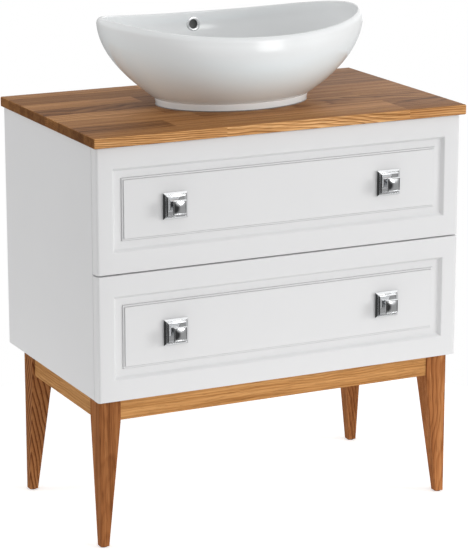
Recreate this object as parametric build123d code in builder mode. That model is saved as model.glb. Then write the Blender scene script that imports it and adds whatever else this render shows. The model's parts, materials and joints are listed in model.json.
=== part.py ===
"""Vanity unit with a vessel basin: two drawers under an oak worktop, on a tapered oak leg frame.

Frame: +Z up, +X to the right of a person who faces the drawers, +Y towards the wall behind.
The origin is on the floor, in the middle of the overall width and depth. Sizes are in millimetres.
"""
import os

from build123d import *

os.makedirs("parts", exist_ok=True)

# ---------------------------------------------------------------- driving dimensions
worktop_width, worktop_depth, worktop_thick = 800, 488, 20
cabinet_width, cabinet_height = 786, 496
leg_height = 300
panel = 18                      # carcass board
front_thick = 20                # decorative drawer front
front_setback = 12              # drawer faces behind the worktop's front edge
knob_reach = 26                 # knob faces in front of the drawer faces
edge_break = 0.8                # arris on the side panels

# levels above the floor
carcass_bottom = leg_height
carcass_top = carcass_bottom + cabinet_height
worktop_top = carcass_top + worktop_thick

# depths, from the knob faces back to the wall
overall_depth = worktop_depth + knob_reach - front_setback
face_y = -overall_depth / 2 + knob_reach
worktop_front_y = face_y - front_setback
worktop_back_y = worktop_front_y + worktop_depth
front_back_y = face_y + front_thick
carcass_front_y = front_back_y + 2          # room for the drawers' soft buffers
carcass_back_y = worktop_back_y - 2
half_cabinet = cabinet_width / 2
inner_x = half_cabinet - panel              # inner faces of the side panels
basin_y = (worktop_front_y + worktop_back_y) / 2

# leg frame
leg_outer_x = 384
leg_front_y, leg_rear_y = face_y + 20, face_y + 414
leg_top, leg_foot = 45, 18
rail_height, rail_thick = 46, 20
end_rail_inset, side_rail_inset = 3, 5
glide_thick, glide_r = 2, 7
leg_round, rail_chamfer = 1.5, 1
block_leg = 55                              # length of a corner block's legs along the rails
rail_bottom = leg_height - rail_height
bolt_z = rail_bottom + rail_height / 2
leg_inner_x = leg_outer_x - leg_top
leg_frame_y = {-1: leg_front_y, 1: leg_rear_y}      # outer faces, by the sign of their side
corners = [(sx, sy) for sx in (-1, 1) for sy in (-1, 1)]

# drawers
reveal = 2                                  # gap over, between and under the fronts
front_split = carcass_bottom + 249          # middle of the gap between the two fronts
slide_gap = 13                              # space for one slide between drawer and carcass
box_half = inner_x - slide_gap
board = 15                                  # drawer box board
base_thick = 8
groove = 5                                  # the drawer base stands this far into the boards
box_height, box_depth = 150, 400
base_rise = 10                              # drawer base above the boards' lower edges
box_front_y, box_back_y = front_back_y, front_back_y + box_depth
slide_back_y, slide_length, slide_rise = 200, 400, 60
recess_half, recess_front_y, recess_board = 80, -60, 12

drawers = {
    "upper": {"low": front_split + reveal / 2, "high": carcass_top - reveal, "box": carcass_bottom + 280},
    "lower": {"low": carcass_bottom, "high": front_split - reveal / 2, "box": carcass_bottom + 30},
}

# mouldings and knobs
front_round = 6                             # round of a front's upright edges
frame_side, frame_end = 35, 42              # flat margin round the moulding
band = 18                                   # sunk band between the frame and the raised field
sunk = 3
knob_x = 231
knob_plate, knob_step, knob_head = 52, 35, 28
knob_layer = 3                              # thickness of the plate and of the step on it
knob_stem_r, knob_neck, knob_face = 6.5, 20, 26

# basin, measured from its own centre and from the worktop
basin_length, basin_width = 560, 382
rim_low, rim_high, rim_wall = 155, 181, 10
foot_length, foot_width, foot_height = 322, 240, 15
bowl_floor = 34
floor_wall = 87                             # thickness of the wall where it meets the bowl's floor
foot_recess, foot_ledge = 10, 20            # hollow under the foot, and the width of the ring round it
foot_joint = 1.5                            # gap round the foot that the sealant fills
end_roundness, side_roundness = 0.8, 0.9    # how early the wall flares, at the ends and at the sides
wall_taper = 2.2                            # power by which the wall thins towards the rim
overflow_z, overflow_tilt = 129.5, 29
overflow_hole_r, overflow_ring_r = 12, 15.5
ring_seat = 1                               # the ring is let this far into the bowl's wall
drain_hole_r = 23
worktop_hole_r = 25

# fasteners: radii and lengths
dowel_r, dowel_inside, dowel_length = 4, 20, 31
screw_r, screw_head_r = 2, 4
head_depth = 2.5
carcass_screw_r, carcass_screw_head_r, carcass_screw_length = 2.2, 4.4, 28
base_screw_r, base_screw_head_r, base_screw_length = 2.5, 5.5, 56
leg_bolt_r, leg_bolt_length, leg_bolt_tail = 4, 80, 52
leg_nut_r, leg_nut_thick, leg_washer_r, leg_washer_thick = 7.5, 6.5, 10, 1.6


def facing_front(y):
    """Plane at depth y that looks out of the drawers: its own x is +X, its own y is +Z."""
    return Plane.XZ.offset(-y)


# ---------------------------------------------------------------- fasteners, first so that each hole fits
with BuildPart() as dowels:
    dowel_spots = [(y, carcass_bottom + panel / 2) for y in (-150, 23, 196)]
    dowel_spots += [(y, carcass_top - panel / 2) for y in (-180, -126, 150, 205)]
    dowel_spots += [(carcass_back_y - panel / 2, z) for z in (340, 396, 716, 756)]
    for side in (-1, 1):
        with BuildSketch(Plane.YZ.offset(side * (inner_x - dowel_inside))):
            with Locations(*dowel_spots):
                Circle(dowel_r)
        extrude(amount=side * dowel_length)
    dowels.part.label = "carcass_dowels"
export_step(dowels.part, "parts/carcass_dowels.step")

worktop_screw_spots = [(x, y) for x in (-250, 250) for y in (-153, 180)]
with BuildPart() as worktop_screws:
    with BuildSketch(Plane.XY.offset(carcass_top - panel)):
        with Locations(*worktop_screw_spots):
            Circle(carcass_screw_head_r)
    extrude(amount=2.6, taper=39)
    with BuildSketch(Plane.XY.offset(carcass_top - panel + 2)):
        with Locations(*worktop_screw_spots):
            Circle(carcass_screw_r)
    extrude(amount=carcass_screw_length)
    worktop_screws.part.label = "worktop_screws"
export_step(worktop_screws.part, "parts/worktop_screws.step")

with BuildPart() as leg_bolts:
    for sx, sy in corners:
        # each bolt runs on the diagonal of its corner, from inside the frame out into the leg
        corner = (sx * leg_inner_x, leg_frame_y[sy] - sy * leg_top, bolt_z)
        diagonal = Plane(origin=corner, z_dir=(sx, sy, 0))
        with BuildSketch(diagonal.offset(-leg_bolt_tail)):
            Circle(leg_bolt_r)
        extrude(amount=leg_bolt_length)
        nut_start = -leg_bolt_tail + 5
        with BuildSketch(diagonal.offset(nut_start)):
            RegularPolygon(leg_nut_r, 6)
        extrude(amount=leg_nut_thick)
        with BuildSketch(diagonal.offset(nut_start + leg_nut_thick)):
            Circle(leg_washer_r)
        extrude(amount=leg_washer_thick)
    leg_bolts.part.label = "leg_bolts"
export_step(leg_bolts.part, "parts/leg_bolts.step")

with BuildPart() as base_screws:
    for sx, sy in corners:
        spot = (sx * (leg_inner_x - 30), leg_frame_y[sy] - sy * 35)
        with BuildSketch(Plane.XY.offset(rail_bottom - 1)):
            with Locations(spot):
                Circle(base_screw_head_r)
        extrude(amount=3)
        with BuildSketch(Plane.XY.offset(rail_bottom + 2)):
            with Locations(spot):
                Circle(base_screw_r)
        extrude(amount=base_screw_length)
    base_screws.part.label = "base_screws"
export_step(base_screws.part, "parts/base_screws.step")

# ---------------------------------------------------------------- leg frame
for sx, sy in corners:
    name = f"leg_{'front' if sy < 0 else 'rear'}_{'left' if sx < 0 else 'right'}"
    outer_corner = (sx * leg_outer_x, leg_frame_y[sy])
    with BuildPart() as leg:
        for z, width in ((glide_thick, leg_foot), (rail_bottom, leg_top)):
            with BuildSketch(Plane.XY.offset(z)):
                with Locations((outer_corner[0] - sx * width / 2, outer_corner[1] - sy * width / 2)):
                    Rectangle(width, width)
        loft()
        extrude(leg.faces().sort_by(Axis.Z)[-1], amount=rail_height)
        long_edges = leg.edges().filter_by(lambda e: abs(e.tangent_at(0).Z) > 0.7)
        fillet(long_edges, radius=leg_round)
        add(leg_bolts.part, mode=Mode.SUBTRACT)
        leg.part.label = name
    export_step(leg.part, f"parts/{name}.step")

with BuildPart() as foot_glides:
    with BuildSketch(Plane.XY):
        for sx, sy in corners:
            inset = leg_foot / 2
            with Locations((sx * (leg_outer_x - inset), leg_frame_y[sy] - sy * inset)):
                Circle(glide_r)
    extrude(amount=glide_thick)
    foot_glides.part.label = "foot_glides"
export_step(foot_glides.part, "parts/foot_glides.step")

for name, sy in (("rail_front", -1), ("rail_rear", 1)):
    with BuildPart() as end_rail:
        with BuildSketch(Plane.XY.offset(rail_bottom)):
            with Locations((0, leg_frame_y[sy] - sy * (end_rail_inset + rail_thick / 2))):
                Rectangle(2 * leg_inner_x, rail_thick)
        extrude(amount=rail_height)
        chamfer(end_rail.edges().filter_by(Axis.X).group_by(Axis.Z)[0], length=rail_chamfer)
        end_rail.part.label = name
    export_step(end_rail.part, f"parts/{name}.step")

side_rail_length = leg_rear_y - leg_front_y - 2 * leg_top
side_rail_x = leg_outer_x - side_rail_inset - rail_thick / 2
side_rail_y = (leg_front_y + leg_rear_y) / 2
for name, sx in (("rail_left", -1), ("rail_right", 1)):
    with BuildPart() as side_rail:
        with BuildSketch(Plane.XY.offset(rail_bottom)):
            with Locations((sx * side_rail_x, side_rail_y)):
                Rectangle(rail_thick, side_rail_length)
        extrude(amount=rail_height)
        chamfer(side_rail.edges().filter_by(Axis.Y).group_by(Axis.Z)[0], length=rail_chamfer)
        side_rail.part.label = name
    export_step(side_rail.part, f"parts/{name}.step")

with BuildPart() as corner_blocks:
    for sx, sy in corners:
        # five-sided block: two rails, the leg's two inner faces between them, and a diagonal
        rail_y = leg_frame_y[sy] - sy * (end_rail_inset + rail_thick)
        rail_x = sx * (leg_outer_x - side_rail_inset - rail_thick)
        leg_x, leg_y = sx * leg_inner_x, leg_frame_y[sy] - sy * leg_top
        outline = [(leg_x - sx * block_leg, rail_y), (leg_x, rail_y), (leg_x, leg_y), (rail_x, leg_y),
                   (rail_x, leg_y - sy * block_leg)]
        with BuildSketch(Plane.XY.offset(rail_bottom + 2)):
            with BuildLine():
                Polyline(*outline, close=True)
            make_face()
        extrude(amount=rail_height - 2)
    add(leg_bolts.part, mode=Mode.SUBTRACT)
    add(base_screws.part, mode=Mode.SUBTRACT)
    corner_blocks.part.label = "corner_blocks"
export_step(corner_blocks.part, "parts/corner_blocks.step")

# ---------------------------------------------------------------- carcass
carcass_depth = carcass_back_y - carcass_front_y
carcass_mid_y = (carcass_front_y + carcass_back_y) / 2
for name, sx in (("side_panel_left", -1), ("side_panel_right", 1)):
    with BuildPart() as side_panel:
        with BuildSketch(Plane.XY.offset(carcass_bottom)):
            with Locations((sx * (inner_x + panel / 2), carcass_mid_y)):
                Rectangle(panel, carcass_depth)
        extrude(amount=cabinet_height)
        outer_face = side_panel.faces().sort_by(Axis.X)[-1 if sx > 0 else 0]
        chamfer(outer_face.edges(), length=edge_break)
        add(dowels.part, mode=Mode.SUBTRACT)
        side_panel.part.label = name
    export_step(side_panel.part, f"parts/{name}.step")

with BuildPart() as bottom_panel:
    with BuildSketch(Plane.XY.offset(carcass_bottom)):
        with Locations((0, carcass_mid_y)):
            Rectangle(2 * inner_x, carcass_depth)
    extrude(amount=panel)
    add(dowels.part, mode=Mode.SUBTRACT)
    add(base_screws.part, mode=Mode.SUBTRACT)
    bottom_panel.part.label = "bottom_panel"
export_step(bottom_panel.part, "parts/bottom_panel.step")

stretcher_width = 100
stretchers = {"stretcher_front": carcass_front_y + stretcher_width / 2,
              "stretcher_rear": carcass_back_y - panel - stretcher_width / 2}
for name, y in stretchers.items():
    with BuildPart() as stretcher:
        with BuildSketch(Plane.XY.offset(carcass_top - panel)):
            with Locations((0, y)):
                Rectangle(2 * inner_x, stretcher_width)
        extrude(amount=panel)
        add(dowels.part, mode=Mode.SUBTRACT)
        add(worktop_screws.part, mode=Mode.SUBTRACT)
        stretcher.part.label = name
    export_step(stretcher.part, f"parts/{name}.step")

back_rail_height = 100
wall_hole_r, wall_hole_x = 4, 250
back_rails = {"back_rail_upper": carcass_top - back_rail_height, "back_rail_lower": carcass_bottom + panel}
for name, z in back_rails.items():
    with BuildPart() as back_rail:
        with BuildSketch(facing_front(carcass_back_y)):
            with Locations((0, z + back_rail_height / 2)):
                Rectangle(2 * inner_x, back_rail_height)
            if name == "back_rail_upper":       # the wall screws go through the upper rail only
                with Locations(*[(x, z + back_rail_height / 2) for x in (-wall_hole_x, wall_hole_x)]):
                    Circle(wall_hole_r, mode=Mode.SUBTRACT)
        extrude(amount=panel)
        add(dowels.part, mode=Mode.SUBTRACT)
        back_rail.part.label = name
    export_step(back_rail.part, f"parts/{name}.step")

# ---------------------------------------------------------------- worktop
with BuildPart() as worktop:
    with BuildSketch(Plane.XY.offset(carcass_top)):
        with Locations((0, basin_y)):
            RectangleRounded(worktop_width, worktop_depth, radius=4)
            Circle(worktop_hole_r, mode=Mode.SUBTRACT)
    extrude(amount=worktop_thick)
    for level in (0, -1):
        rim_edges = worktop.faces().sort_by(Axis.Z)[level].outer_wire().edges()
        fillet(rim_edges, radius=2.5)
    add(worktop_screws.part, mode=Mode.SUBTRACT)
    worktop.part.label = "worktop"
export_step(worktop.part, "parts/worktop.step")


# ---------------------------------------------------------------- basin
def swell(t, roundness):
    """How far the wall has flared at height share t, from 0 at the foot to 1 at the rim."""
    return t * (1 + roundness - roundness * t)


def outer_half(z):
    """Half axes of the basin's outer ellipse at height z over the worktop."""
    end = swell((z - foot_height) / (rim_high - foot_height), end_roundness)
    side = swell((z - foot_height) / (rim_low - foot_height), side_roundness)
    length = foot_length + (basin_length - foot_length) * end
    width = foot_width + (basin_width - foot_width) * side
    return length / 2, width / 2


def inner_half(z):
    """Half axes of the bowl at height z: the wall is thick at the floor and thins to the rim."""
    outer_x, outer_y = outer_half(z)
    walls = []
    for top in (rim_high, rim_low):
        depth_share = max(0, 1 - (z - bowl_floor) / (top - bowl_floor))
        walls.append(rim_wall + (floor_wall - rim_wall) * depth_share ** wall_taper)
    return outer_x - walls[0], outer_y - walls[1]


loft_top = rim_high + 3
with BuildPart() as bowl_space:
    for z in (bowl_floor, 40, 50, 66, 90, 120, 150, loft_top):
        with BuildSketch(Plane.XY.offset(worktop_top + z)):
            with Locations((0, basin_y)):
                Ellipse(*inner_half(z))
    loft()
    fillet(bowl_space.edges().sort_by(Axis.Z)[0], radius=6)

# the water's way from the overflow hole, down inside the back wall, to the drain
duct_outer = [(184, 136), (182, 125), (173.5, 100), (161, 80), (143, 60), (118, 40), (100, 26), (20, 18)]
duct_inner = [(20, 25), (85, 34), (112, 49), (142, 73), (160.5, 97), (172.5, 117), (179.5, 136)]
with BuildPart() as overflow_duct:
    with BuildSketch(Plane.YZ):
        with BuildLine():
            Polyline(*[(basin_y + y, worktop_top + z) for y, z in duct_outer + duct_inner], close=True)
        make_face()
    extrude(amount=14, both=True)

overflow_centre = (0, basin_y + inner_half(overflow_z)[1], worktop_top + overflow_z)
overflow_level = Plane(origin=overflow_centre, x_dir=(1, 0, 0), z_dir=(0, 0, 1))
overflow_plane = overflow_level.rotated((90 - overflow_tilt, 0, 0))

with BuildPart() as basin:
    for z in (foot_height, 35, 60, 90, 120, 150, loft_top):
        with BuildSketch(Plane.XY.offset(worktop_top + z)):
            with Locations((0, basin_y)):
                Ellipse(*outer_half(z))
    loft()
    add(bowl_space.part, mode=Mode.SUBTRACT)
    # the rim dips in a long arc from end to end
    with BuildSketch(facing_front(basin_y)):
        with BuildLine():
            overshoot = basin_length / 2 + 20
            end_rise = rim_low + (rim_high - rim_low) * (overshoot / (basin_length / 2)) ** 2
            dip = ThreePointArc((-overshoot, worktop_top + end_rise), (0, worktop_top + rim_low),
                                (overshoot, worktop_top + end_rise))
            Polyline(dip @ 1, (overshoot, worktop_top + 260), (-overshoot, worktop_top + 260), dip @ 0)
        make_face()
    extrude(amount=basin_width, both=True, mode=Mode.SUBTRACT)
    rim = basin.faces().sort_by(lambda f: f.center().Z)[-1]
    fillet(rim.edges(), radius=4)
    with BuildSketch(Plane.XY.offset(worktop_top)):
        with Locations((0, basin_y)):
            Ellipse(foot_length / 2 - foot_joint, foot_width / 2 - foot_joint)
    extrude(amount=foot_height)
    with BuildSketch(Plane.XY.offset(worktop_top)):
        with Locations((0, basin_y)):
            Ellipse(foot_length / 2 - foot_ledge, foot_width / 2 - foot_ledge)
    extrude(amount=foot_recess, mode=Mode.SUBTRACT)
    with BuildSketch(Plane.XY.offset(worktop_top)):
        with Locations((0, basin_y)):
            Circle(drain_hole_r)
    extrude(amount=bowl_floor + 2, mode=Mode.SUBTRACT)
    with BuildSketch(overflow_plane):
        Circle(overflow_hole_r)
    extrude(amount=6, both=True, mode=Mode.SUBTRACT)
    with BuildSketch(overflow_plane.offset(-ring_seat)):
        Circle(overflow_ring_r)
    extrude(amount=10, mode=Mode.SUBTRACT)
    add(overflow_duct.part, mode=Mode.SUBTRACT)
    basin.part.label = "basin"
export_step(basin.part, "parts/basin.step")

with BuildPart() as basin_seal:
    with BuildSketch(Plane.XY.offset(worktop_top)):
        with Locations((0, basin_y)):
            Ellipse(foot_length / 2, foot_width / 2)
            Ellipse(foot_length / 2 - foot_joint, foot_width / 2 - foot_joint, mode=Mode.SUBTRACT)
    extrude(amount=1.2)
    basin_seal.part.label = "basin_seal"
export_step(basin_seal.part, "parts/basin_seal.step")

with BuildPart() as overflow_ring:
    with BuildSketch(overflow_plane.offset(-ring_seat)):
        Circle(overflow_ring_r)
    extrude(amount=3)
    fillet(overflow_ring.edges().sort_by(lambda e: e.center().Y)[0], radius=1.6)
    with BuildSketch(overflow_plane.offset(-6)):
        Circle(overflow_hole_r - 0.1)
    extrude(amount=6)
    with BuildSketch(overflow_plane):
        Circle(overflow_hole_r - 1)
    extrude(amount=8, both=True, mode=Mode.SUBTRACT)
    overflow_ring.part.label = "overflow_ring"
export_step(overflow_ring.part, "parts/overflow_ring.step")

# ---------------------------------------------------------------- waste: flanged body, plug, nut and tail
thread_r, waste_bore_r, flange_r = 21, 16, 31.5
gasket = 1.5
flange_low = worktop_top + bowl_floor + gasket
flange_thick = 2.5
waste_end_z = carcass_top - 38
tail_top_z, tail_end_z = waste_end_z + 18, carcass_top - 100
tail_wall = 1.5
tail_collar_r, tail_collar_thick = 19, 3    # the tail is screwed in as far as this collar
window_width, window_height = 12, 9
backnut_r, backnut_thick = 30, 10
worktop_gasket = 4
plug_cap_r, plug_cap_thick, plug_skirt_r, plug_skirt_depth = 28, 4, 13, 6
boss_wall, spider_thick = 3, 6
stem_r, stem_clearance = 4, 0.3
spider_z = worktop_top - 4
plug_lift = 0.4                             # gap between the closed plug and the flange


def waste_plane(z):
    """Horizontal plane at height z with its origin on the waste's axis."""
    return Plane(origin=(0, basin_y, z))


with BuildPart() as drain_body:
    with BuildSketch(waste_plane(waste_end_z)):
        Circle(thread_r)
    extrude(amount=flange_low - waste_end_z)
    with BuildSketch(waste_plane(flange_low)):
        Circle(flange_r)
    extrude(amount=flange_thick)
    fillet(drain_body.edges().sort_by(Axis.Z)[-1], radius=1.5)
    with BuildSketch(waste_plane(waste_end_z)):
        Circle(waste_bore_r)
    extrude(amount=flange_low + flange_thick - waste_end_z, mode=Mode.SUBTRACT)
    # four windows let the overflow's water in under the flange
    with BuildSketch(waste_plane(worktop_top + 17)):
        for angle in (0, 90):
            Rectangle(2 * thread_r + 10, window_width, rotation=angle)
    extrude(amount=window_height, mode=Mode.SUBTRACT)
    # a cross-bar with a boss guides the plug's stem
    with BuildSketch(waste_plane(spider_z)):
        Rectangle(2 * waste_bore_r + 1, boss_wall)
        Circle(stem_r + boss_wall)
        Circle(stem_r + stem_clearance, mode=Mode.SUBTRACT)
    extrude(amount=spider_thick)
    drain_body.part.label = "drain_body"
export_step(drain_body.part, "parts/drain_body.step")

with BuildPart() as drain_plug:
    cap_low = flange_low + flange_thick + plug_lift
    with BuildSketch(waste_plane(cap_low)):
        Circle(plug_cap_r)
    extrude(amount=plug_cap_thick)
    fillet(drain_plug.edges().sort_by(Axis.Z)[-1], radius=3.2)
    with BuildSketch(waste_plane(cap_low - plug_skirt_depth)):
        Circle(plug_skirt_r)
    extrude(amount=plug_skirt_depth)
    stem_end_z = spider_z - 10
    with BuildSketch(waste_plane(stem_end_z)):
        Circle(stem_r)
    extrude(amount=cap_low - stem_end_z)
    drain_plug.part.label = "drain_plug"
export_step(drain_plug.part, "parts/drain_plug.step")

with BuildPart() as drain_gaskets:
    for z, outer_r, inner_r, thick in ((flange_low - gasket, flange_r - 1, drain_hole_r, gasket),
                                       (carcass_top - worktop_gasket, flange_r, thread_r, worktop_gasket)):
        with BuildSketch(waste_plane(z)):
            Circle(outer_r)
            Circle(inner_r, mode=Mode.SUBTRACT)
        extrude(amount=thick)
    drain_gaskets.part.label = "drain_gaskets"
export_step(drain_gaskets.part, "parts/drain_gaskets.step")

with BuildPart() as drain_backnut:
    with BuildSketch(waste_plane(carcass_top - worktop_gasket - backnut_thick)):
        RegularPolygon(backnut_r, 6)
        Circle(thread_r, mode=Mode.SUBTRACT)
    extrude(amount=backnut_thick)
    drain_backnut.part.label = "drain_backnut"
export_step(drain_backnut.part, "parts/drain_backnut.step")

with BuildPart() as drain_tailpiece:
    with BuildSketch(waste_plane(tail_end_z)):
        Circle(waste_bore_r)
    extrude(amount=tail_top_z - tail_end_z)
    with BuildSketch(waste_plane(waste_end_z - tail_collar_thick)):
        Circle(tail_collar_r)
    extrude(amount=tail_collar_thick)
    with BuildSketch(waste_plane(tail_end_z)):
        Circle(waste_bore_r - tail_wall)
    extrude(amount=tail_top_z - tail_end_z, mode=Mode.SUBTRACT)
    drain_tailpiece.part.label = "drain_tailpiece"
export_step(drain_tailpiece.part, "parts/drain_tailpiece.step")

# ---------------------------------------------------------------- drawer slides: three channels a side
sheet = 1.2
ball_gap = 1                                # between nested channels, where the balls run
slide_height = 45
middle_height = slide_height - 2 * (sheet + ball_gap)
# each member: its inner and outer x, its height, and whether its web is on the outer side
slide_members = {
    "cabinet": (inner_x - 10.5, inner_x, slide_height, True),
    "middle": (inner_x - 9.8, inner_x - sheet - ball_gap, middle_height, True),
    "drawer": (box_half, box_half + 8.6, middle_height - 2 * (sheet + ball_gap), False),
}
for level, drawer in drawers.items():
    for member, (near_x, far_x, height, web_outside) in slide_members.items():
        with BuildPart() as slide:
            with BuildSketch(facing_front(slide_back_y)):
                for sx in (-1, 1):
                    mid_x = sx * (near_x + far_x) / 2
                    opening_shift = sx * (-sheet / 2 if web_outside else sheet / 2)
                    with Locations((mid_x, drawer["box"] + slide_rise)):
                        Rectangle(far_x - near_x, height)
                    with Locations((mid_x + opening_shift, drawer["box"] + slide_rise)):
                        Rectangle(far_x - near_x - sheet, height - 2 * sheet, mode=Mode.SUBTRACT)
            extrude(amount=slide_length)
            slide.part.label = f"{level}_slide_{member}_members"
        export_step(slide.part, f"parts/{level}_slide_{member}_members.step")

# ---------------------------------------------------------------- drawers
for level, drawer in drawers.items():
    low, high, box_low = drawer["low"], drawer["high"], drawer["box"]
    has_recess = level == "upper"               # the upper drawer goes round the waste pipe
    front_mid = (low + high) / 2
    knob_spots = [(x, front_mid) for x in (-knob_x, knob_x)]
    front_screw_spots = [(x, box_low + z) for x in (-310, 310) for z in (35, 115)]
    boards_front_y = box_front_y + board

    with BuildPart() as knob_screws:
        for y, radius, length in ((boards_front_y, screw_r, board + front_thick + 14),
                                  (boards_front_y + head_depth, screw_head_r, head_depth)):
            with BuildSketch(facing_front(y)):
                with Locations(*knob_spots):
                    Circle(radius)
            extrude(amount=length)
        knob_screws.part.label = f"{level}_knob_screws"
    export_step(knob_screws.part, f"parts/{level}_knob_screws.step")

    with BuildPart() as front_screws:
        for y, radius, length in ((boards_front_y, screw_r, board + 13),
                                  (boards_front_y + head_depth, screw_head_r, head_depth)):
            with BuildSketch(facing_front(y)):
                with Locations(*front_screw_spots):
                    Circle(radius)
            extrude(amount=length)
        front_screws.part.label = f"{level}_front_screws"
    export_step(front_screws.part, f"parts/{level}_front_screws.step")

    with BuildPart() as front:
        with BuildSketch(facing_front(front_back_y)):
            with Locations((0, front_mid)):
                Rectangle(cabinet_width, high - low)
        extrude(amount=front_thick)
        face = front.faces().sort_by(Axis.Y)[0]
        fillet(face.edges().filter_by(Axis.Z), radius=front_round)
        # the moulding: a sunk band between the flat frame and the raised field
        with BuildSketch(facing_front(face_y + sunk)):
            with Locations((0, front_mid)):
                Rectangle(cabinet_width - 2 * frame_side, high - low - 2 * frame_end)
                Rectangle(cabinet_width - 2 * (frame_side + band), high - low - 2 * (frame_end + band),
                          mode=Mode.SUBTRACT)
        extrude(amount=sunk, mode=Mode.SUBTRACT)
        add(knob_screws.part, mode=Mode.SUBTRACT)
        add(front_screws.part, mode=Mode.SUBTRACT)
        front.part.label = f"{level}_drawer_front"
    export_step(front.part, f"parts/{level}_drawer_front.step")

    with BuildPart() as knob_plates:
        for offset, width, slope in ((0, knob_plate, 40), (knob_layer, knob_step, 25)):
            with BuildSketch(facing_front(face_y - offset)):
                with Locations(*knob_spots):
                    Rectangle(width, width)
            extrude(amount=knob_layer, taper=slope)
        add(knob_screws.part, mode=Mode.SUBTRACT)
        knob_plates.part.label = f"{level}_knob_plates"
    export_step(knob_plates.part, f"parts/{level}_knob_plates.step")

    with BuildPart() as knob_heads:
        with BuildSketch(facing_front(face_y - 2 * knob_layer)):
            with Locations(*knob_spots):
                Circle(knob_stem_r)
        extrude(amount=6)
        # the head flares from its neck, runs straight and ends in a domed square
        head_layers = ((12, knob_neck, 5, -38.6), (17, knob_head, 4, 0), (21, knob_face, 5, 38))
        for offset, width, length, slope in head_layers:
            with BuildSketch(facing_front(face_y - offset)):
                with Locations(*knob_spots):
                    Rectangle(width, width)
            extrude(amount=length, taper=slope)
        add(knob_screws.part, mode=Mode.SUBTRACT)
        knob_heads.part.label = f"{level}_knob_heads"
    export_step(knob_heads.part, f"parts/{level}_knob_heads.step")

    with BuildPart() as base:
        base_half = box_half - board + groove
        with BuildSketch(Plane.XY.offset(box_low + base_rise)):
            with Locations((0, (boards_front_y + box_back_y - board) / 2)):
                Rectangle(2 * base_half, box_back_y - boards_front_y - board + 2 * groove)
            if has_recess:
                notch_front_y = recess_front_y - recess_board
                with Locations((0, (notch_front_y + box_back_y) / 2)):
                    Rectangle(2 * (recess_half + recess_board), box_back_y - notch_front_y,
                              mode=Mode.SUBTRACT)
        extrude(amount=base_thick)
        base.part.label = f"{level}_drawer_base"
    export_step(base.part, f"parts/{level}_drawer_base.step")

    # upright boards: name, x range, y range
    uprights = [("box_front", -box_half, box_half, box_front_y, boards_front_y),
                ("side_left", -box_half, -box_half + board, boards_front_y, box_back_y),
                ("side_right", box_half - board, box_half, boards_front_y, box_back_y)]
    back_half = box_half - board
    if has_recess:
        cheek_far = recess_half + recess_board
        uprights += [("back_left", -back_half, -cheek_far, box_back_y - board, box_back_y),
                     ("back_right", cheek_far, back_half, box_back_y - board, box_back_y),
                     ("recess_front", -cheek_far, cheek_far, recess_front_y - recess_board, recess_front_y),
                     ("recess_left", -cheek_far, -recess_half, recess_front_y, box_back_y),
                     ("recess_right", recess_half, cheek_far, recess_front_y, box_back_y)]
    else:
        uprights += [("back", -back_half, back_half, box_back_y - board, box_back_y)]
    for name, x0, x1, y0, y1 in uprights:
        with BuildPart() as upright:
            with BuildSketch(Plane.XY.offset(box_low)):
                with Locations(((x0 + x1) / 2, (y0 + y1) / 2)):
                    Rectangle(x1 - x0, y1 - y0)
            extrude(amount=box_height)
            add(base.part, mode=Mode.SUBTRACT)
            add(knob_screws.part, mode=Mode.SUBTRACT)
            add(front_screws.part, mode=Mode.SUBTRACT)
            upright.part.label = f"{level}_drawer_{name}"
        export_step(upright.part, f"parts/{level}_drawer_{name}.step")
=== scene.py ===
"""Vessel sink on a two-drawer vanity: the visible pieces, their finishes, the light and the camera."""
import json
import logging
import math
import random
from dataclasses import dataclass, field
from enum import Enum
from typing import Callable, Iterable, Sequence

import bmesh
import bpy
from mathutils import Matrix, Vector


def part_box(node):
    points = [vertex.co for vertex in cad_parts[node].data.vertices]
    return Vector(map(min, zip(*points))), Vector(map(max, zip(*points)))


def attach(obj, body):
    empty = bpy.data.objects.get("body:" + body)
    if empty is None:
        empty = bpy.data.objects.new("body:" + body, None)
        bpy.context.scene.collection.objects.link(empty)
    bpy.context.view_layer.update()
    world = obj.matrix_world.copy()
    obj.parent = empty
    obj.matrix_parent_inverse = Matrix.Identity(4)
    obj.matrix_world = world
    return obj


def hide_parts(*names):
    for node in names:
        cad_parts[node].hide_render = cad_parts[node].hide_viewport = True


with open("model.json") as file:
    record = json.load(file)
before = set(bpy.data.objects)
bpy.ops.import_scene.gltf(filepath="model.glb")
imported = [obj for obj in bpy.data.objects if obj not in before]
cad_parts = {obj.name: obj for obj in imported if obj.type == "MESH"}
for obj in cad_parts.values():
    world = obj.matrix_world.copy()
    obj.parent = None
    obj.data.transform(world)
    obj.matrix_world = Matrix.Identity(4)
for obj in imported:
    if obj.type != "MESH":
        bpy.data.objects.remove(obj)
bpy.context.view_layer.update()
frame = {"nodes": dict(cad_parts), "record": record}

MM = 0.001
WELD = 1e-6
ON_PLANE = 1e-7
LOG = logging.getLogger("vanity")
Colour = tuple[float, float, float]
Material, NodeSocket = bpy.types.Material, bpy.types.NodeSocket
BMesh, BMFace = bmesh.types.BMesh, bmesh.types.BMFace
Points = Sequence[tuple[float, float]]
Lobes = Sequence[tuple[str, float, float, float]]


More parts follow.
